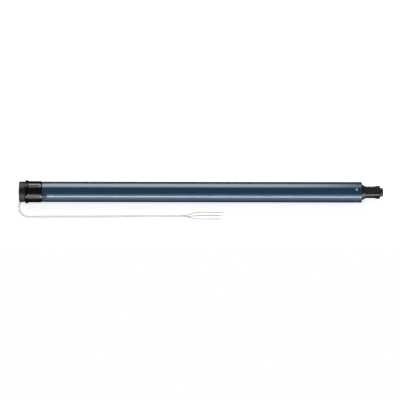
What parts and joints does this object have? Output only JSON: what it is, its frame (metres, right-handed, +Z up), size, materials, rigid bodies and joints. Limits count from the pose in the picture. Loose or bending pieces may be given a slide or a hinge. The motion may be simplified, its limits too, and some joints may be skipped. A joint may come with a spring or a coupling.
{
  "type": "tubular roller blind motor",
  "caption": "Tubular motor for a roller blind: head with an idling crown, lacquered tube with brake and planetary gearbox, ribbed drive shaft and a short three-core lead.",
  "frame": {"origin": "centre of the bracket socket on the head's end face, on the tube's axis", "axes": "+X along the tube from the head to the drive shaft, +Z up as it lies, the lead on the -Y side"},
  "size_m": [0.7981, 0.0847, 0.051],
  "materials": {
    "blue_lacquer": "smooth dark blue lacquer on steel",
    "satin_black": "satin moulded",
    "gloss_black": "glossy moulded",
    "pale_plastic": "moulded",
    "gear_plastic": "moulded acetal",
    "board_green": "solder mask",
    "yellow_tape": "wound tape",
    "lining": "friction lining",
    "steel": "machined",
    "alloy": "die cast",
    "bronze": "sintered",
    "copper": "drawn copper",
    "rubber": "moulded",
    "white_pvc": "extruded sheath",
    "core_green": "extruded core insulation, yellow and green",
    "core_brown": "extruded core insulation",
    "core_blue": "extruded core insulation"
  },
  "bodies": {
    "housing": {"motor_tube": "blue_lacquer", "head_cap": "satin_black", "head_neck": "satin_black", "cap_screws": "steel", "head_seal": "rubber", "cable_grommet": "rubber", "prog_switch": "satin_black", "terminal_block": "pale_plastic", "board_tray": "satin_black", "circuit_board": "board_green", "relays": "gloss_black", "supply_transformer": "yellow_tape", "radio_module": "board_green", "run_capacitor": "pale_plastic", "capacitor_cradle": "satin_black", "motor_leads": "core_brown", "rear_end_shield": "alloy", "front_end_shield": "alloy", "rotor_bushes": "bronze", "stator_core": "steel", "stator_winding": "copper", "brake_housing": "steel", "brake_lining": "lining", "gearbox_cover": "alloy", "ring_gear": "steel", "output_flange": "satin_black", "output_bushes": "bronze", "shaft_seal": "rubber", "flange_rivets": "steel", "mains_cable": "white_pvc", "wire_earth": "core_green", "wire_live": "core_brown", "wire_neutral": "core_blue", "wire_tips": "copper"},
    "crown": {"crown": "gloss_black"},
    "prog_button": {"prog_button": "satin_black"},
    "rotor": {"rotor_core": "steel", "rotor_end_rings": "alloy", "rotor_shaft": "steel", "coupling_hub": "alloy", "coupling_spider": "rubber", "input_pinion": "steel", "brake_spring": "steel"},
    "brake_disc": {"brake_disc": "steel"},
    "planet_carrier_1": {"planet_carrier_1": "steel"},
    "planet_carrier_2": {"planet_carrier_2": "steel"},
    "output": {"output_carrier": "steel", "drive_shaft": "satin_black"},
    "latch_upper": {"latch_upper": "satin_black"},
    "latch_lower": {"latch_lower": "satin_black"},
    "planet_1a": {"planet_1a": "gear_plastic"},
    "planet_1b": {"planet_1b": "gear_plastic"},
    "planet_1c": {"planet_1c": "gear_plastic"},
    "planet_2a": {"planet_2a": "steel"},
    "planet_2b": {"planet_2b": "steel"},
    "planet_2c": {"planet_2c": "steel"},
    "planet_3a": {"planet_3a": "steel"},
    "planet_3b": {"planet_3b": "steel"},
    "planet_3c": {"planet_3c": "steel"}
  },
  "joints": [
    {"name": "drive_spin", "type": "hinge", "parent": "housing", "child": "output", "pos_m": [0.72, 0, 0], "axis": [1, 0, 0], "continuous": true},
    {"name": "carrier_2_spin", "type": "hinge", "parent": "housing", "child": "planet_carrier_2", "pos_m": [0.6587, 0, 0], "axis": [1, 0, 0], "continuous": true},
    {"name": "carrier_1_spin", "type": "hinge", "parent": "housing", "child": "planet_carrier_1", "pos_m": [0.6356, 0, 0], "axis": [1, 0, 0], "continuous": true},
    {"name": "rotor_spin", "type": "hinge", "parent": "housing", "child": "rotor", "pos_m": [0.47, 0, 0], "axis": [1, 0, 0], "continuous": true},
    {"name": "planet_3a_spin", "type": "hinge", "parent": "output", "child": "planet_3a", "pos_m": [0.6755, 0.0119, 0], "axis": [1, 0, 0], "continuous": true},
    {"name": "planet_3b_spin", "type": "hinge", "parent": "output", "child": "planet_3b", "pos_m": [0.6755, -0.00595, 0.0103], "axis": [1, 0, 0], "continuous": true},
    {"name": "planet_3c_spin", "type": "hinge", "parent": "output", "child": "planet_3c", "pos_m": [0.6755, -0.00595, -0.0103], "axis": [1, 0, 0], "continuous": true},
    {"name": "planet_2a_spin", "type": "hinge", "parent": "planet_carrier_2", "child": "planet_2a", "pos_m": [0.6469, 0.0119, 0], "axis": [1, 0, 0], "continuous": true},
    {"name": "planet_2b_spin", "type": "hinge", "parent": "planet_carrier_2", "child": "planet_2b", "pos_m": [0.6469, -0.00595, 0.0103], "axis": [1, 0, 0], "continuous": true},
    {"name": "planet_2c_spin", "type": "hinge", "parent": "planet_carrier_2", "child": "planet_2c", "pos_m": [0.6469, -0.00595, -0.0103], "axis": [1, 0, 0], "continuous": true},
    {"name": "planet_1a_spin", "type": "hinge", "parent": "planet_carrier_1", "child": "planet_1a", "pos_m": [0.6273, 0.0119, 0], "axis": [1, 0, 0], "continuous": true},
    {"name": "planet_1b_spin", "type": "hinge", "parent": "planet_carrier_1", "child": "planet_1b", "pos_m": [0.6273, -0.00595, 0.0103], "axis": [1, 0, 0], "continuous": true},
    {"name": "planet_1c_spin", "type": "hinge", "parent": "planet_carrier_1", "child": "planet_1c", "pos_m": [0.6273, -0.00595, -0.0103], "axis": [1, 0, 0], "continuous": true},
    {"name": "crown_spin", "type": "hinge", "parent": "housing", "child": "crown", "pos_m": [0.032, 0, 0], "axis": [1, 0, 0], "continuous": true},
    {"name": "prog_press", "type": "slide", "parent": "housing", "child": "prog_button", "axis": [1, 0, 0], "range_m": [0, 0.001], "stiffness_N_per_m": 400},
    {"name": "brake_lift", "type": "slide", "parent": "rotor", "child": "brake_disc", "axis": [-1, 0, 0], "range_m": [0, 0.0005], "stiffness_N_per_m": 2000},
    {"name": "latch_upper_press", "type": "hinge", "parent": "output", "child": "latch_upper", "pos_m": [0.7742, 0.00784, 0.00421], "axis": [0, 0.4726, -0.8813], "range_deg": [0, 7], "stiffness_Nm_per_rad": 0.6},
    {"name": "latch_lower_press", "type": "hinge", "parent": "output", "child": "latch_lower", "pos_m": [0.7742, -0.00784, -0.00421], "axis": [0, -0.4726, 0.8813], "range_deg": [0, 7], "stiffness_Nm_per_rad": 0.6}
  ],
  "couplings": [
    {"joint": "carrier_2_spin", "follows": "drive_spin", "ratio": 4.4},
    {"joint": "carrier_1_spin", "follows": "drive_spin", "ratio": 19.36},
    {"joint": "rotor_spin", "follows": "drive_spin", "ratio": 85.184},
    {"joint": "planet_3a_spin", "follows": "drive_spin", "ratio": -2.8333},
    {"joint": "planet_3b_spin", "follows": "drive_spin", "ratio": -2.8333},
    {"joint": "planet_3c_spin", "follows": "drive_spin", "ratio": -2.8333},
    {"joint": "planet_2a_spin", "follows": "drive_spin", "ratio": -12.467},
    {"joint": "planet_2b_spin", "follows": "drive_spin", "ratio": -12.467},
    {"joint": "planet_2c_spin", "follows": "drive_spin", "ratio": -12.467},
    {"joint": "planet_1a_spin", "follows": "drive_spin", "ratio": -54.853},
    {"joint": "planet_1b_spin", "follows": "drive_spin", "ratio": -54.853},
    {"joint": "planet_1c_spin", "follows": "drive_spin", "ratio": -54.853}
  ]
}
